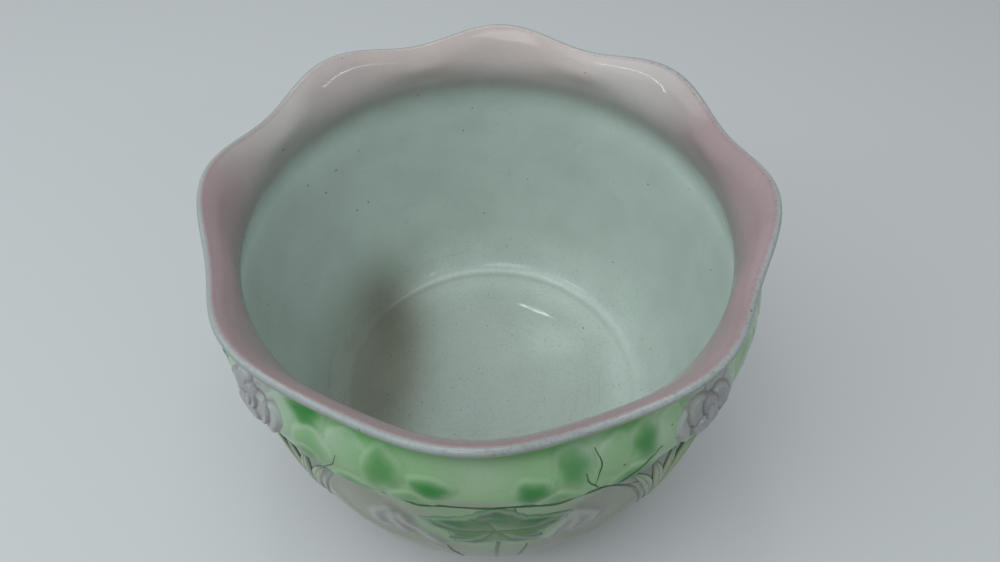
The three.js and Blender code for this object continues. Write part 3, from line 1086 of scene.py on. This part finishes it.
def twig_lines():
    """All lines of the quarter in one mesh of edges, with their thickness and paint."""
    points, edges, widths = [], [], []
    for width, places in TWIGS:
        line = soft_line(places)
        start = len(points)
        along = np.clip(np.linspace(0, 1, len(line)), 0.08, 0.92)
        points += [(x, y, 0) for x, y in line]
        edges += [(start + i, start + i + 1) for i in range(len(line) - 1)]
        widths += list(0.85 * width * (0.55 + 0.45 * np.sin(np.pi * along)))
    made = mesh_object("twig_lines", points, edges=edges)
    store(made, "thickness", np.array(widths) * MM)
    store(made, "paint", np.tile(TWIG_GREEN, (len(points), 1)))
    return made


flat_twigs = twig_lines()
print("the twigs of a quarter have", len(flat_twigs.data.vertices), "points")

# %% The tree that lays the twigs
lay, given = geometry_tree("lay_the_twigs", {
    **WALL_SOCKETS, "Repeats": "Int", "Sides": "Int"})
lines = node(lay, "GeometryNodeMeshToCurve", {"Mesh": given["Geometry"]})
on_wall = node(lay, "GeometryNodeSetPosition", {
    "Geometry": lines, "Position": wall_place(lay, given)})
thickness = node(lay, "GeometryNodeInputNamedAttribute", {"Name": "thickness"}, data_type="FLOAT")
section = node(lay, "GeometryNodeCurvePrimitiveCircle", {
    "Resolution": given["Sides"], "Radius": 1.0})
swept = node(lay, "GeometryNodeCurveToMesh", {
    "Curve": on_wall, "Profile Curve": section,
    "Scale": thickness.outputs["Attribute"], "Fill Caps": True})
posts = node(lay, "GeometryNodePoints", {"Count": given["Repeats"]})
step = maths(lay, "DIVIDE", 2 * math.pi, given["Repeats"])
angle = times(lay, node(lay, "GeometryNodeInputIndex"), step)
spin = node(lay, "ShaderNodeCombineXYZ", {"Z": angle})
round_bowl = node(lay, "GeometryNodeInstanceOnPoints", {
    "Points": posts, "Instance": swept, "Rotation": spin})
end_tree(lay, round_bowl, given["Glaze"])

# %% Lay the twigs
twigs = made_by(lay, flat_twigs, {
    "Wall": bowl, "Radius": RIM_RADIUS * MM, "Turn": 0.0, "Sink": 0.15 * MM,
    "Repeats": 4, "Sides": 8, "Glaze": spray_glaze}, "garland_twigs")
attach(twigs, "root")
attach(bowl, "root")
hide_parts("bowl_body")

for helper in (sheet, outline, flat_leaf, flat_flower, flat_fan, flat_twigs):
    bpy.data.objects.remove(helper)

# %% [markdown]
# ## Floor, backdrop and light
# A plain floor and an empty backdrop. Most of the light comes from a big window at the
# upper left and a long lamp overhead. A second window in front lights the far crest of
# the rim, two narrow tubes draw the thin streaks on the flare, and a small lamp high
# behind draws the streak on the floor inside. Floor and backdrop are brighter as seen
# by the camera and in mirrors than in the light that they throw on the bowl.

# %% Floor
FLOOR_REACH = 15000


def seen(tree):
    """1 for rays from the camera, a mirror or glass, and 0 for rays that bring light."""
    ray = node(tree, "ShaderNodeLightPath").outputs
    return maths(tree, "MAXIMUM", ray["Is Camera Ray"],
                 maths(tree, "MAXIMUM", ray["Is Glossy Ray"], ray["Is Transmission Ray"]))


floor = mesh_object("studio_floor", [
    (x * FLOOR_REACH, y * FLOOR_REACH, 0) for x, y in ((-1, -1), (1, -1), (1, 1), (-1, 1))],
    faces=[(0, 1, 2, 3)])
floor_paint = bpy.data.materials.new("floor_paint")
floor_paint.use_nodes = True
floor_tree = floor_paint.node_tree
tone = tinted(floor_tree, (0.12, 0.11, 0.10, 1), (0.49, 0.52, 0.53), seen(floor_tree))
fill(floor_tree.nodes["Principled BSDF"], {"Base Color": tone, "Roughness": 0.7})
floor.data.materials.append(floor_paint)

# %% Lights


def toward(azimuth_deg, elevation):
    """A direction from an azimuth and an elevation in degrees."""
    a, e = math.radians(azimuth_deg), math.radians(elevation)
    return Vector((math.sin(a) * math.cos(e), -math.cos(a) * math.cos(e), math.sin(e)))


def lamp(name, start, end, aim, distance, width, power, tint=(1, 1, 1)):
    """An area light as seen from aim: it spans two directions, and is width metres high."""
    aim = Vector(aim) * MM
    ends = [aim + toward(*way) * distance for way in (start, end)]
    middle = (ends[0] + ends[1]) / 2
    back = (middle - aim).normalized()
    along = ends[1] - ends[0]
    length = along.length
    along = (along - along.project(back)).normalized()
    data = bpy.data.lights.new(name, "AREA")
    data.shape = "RECTANGLE"
    data.size, data.size_y = length, width
    data.energy = power
    data.color = tint
    turn = Matrix((along, back.cross(along), back)).transposed().to_4x4()
    add(name, data).matrix_world = Matrix.Translation(middle) @ turn


DAYLIGHT = (0.97, 0.99, 1)
lamp("big_window", (-110, 44), (-42, 44), (0, 0, 100), 2.0, 1.9, 13.5, DAYLIGHT)
lamp("ceiling", (-90, 72), (90, 72), (0, 0, 0), 1.9, 0.9, 8, DAYLIGHT)
lamp("front_window", (-21, 47), (2, 41), (6, 127, 190), 1.5, 0.6, 3.2)
lamp("tube_right", (79, 16), (42, 34), (-79, 98, 188), 1.5, 0.03, 1.3)
lamp("tube_left", (-77, 14), (-50, 42), (74, 102, 189), 1.5, 0.03, 1.3)
lamp("tube_behind", (-166, 74), (-154, 71), (27, 62, 12), 1.5, 0.06, 0.65)
world = bpy.data.worlds.new("room")
world.use_nodes = True
sky = world.node_tree
fill(sky.nodes["Background"], {
    "Color": (0.93, 0.97, 1.0, 1),
    "Strength": maths(sky, "MULTIPLY_ADD", seen(sky), 0.16, 0.38)})
bpy.context.scene.world = world
bpy.context.scene.view_settings.view_transform = "Standard"
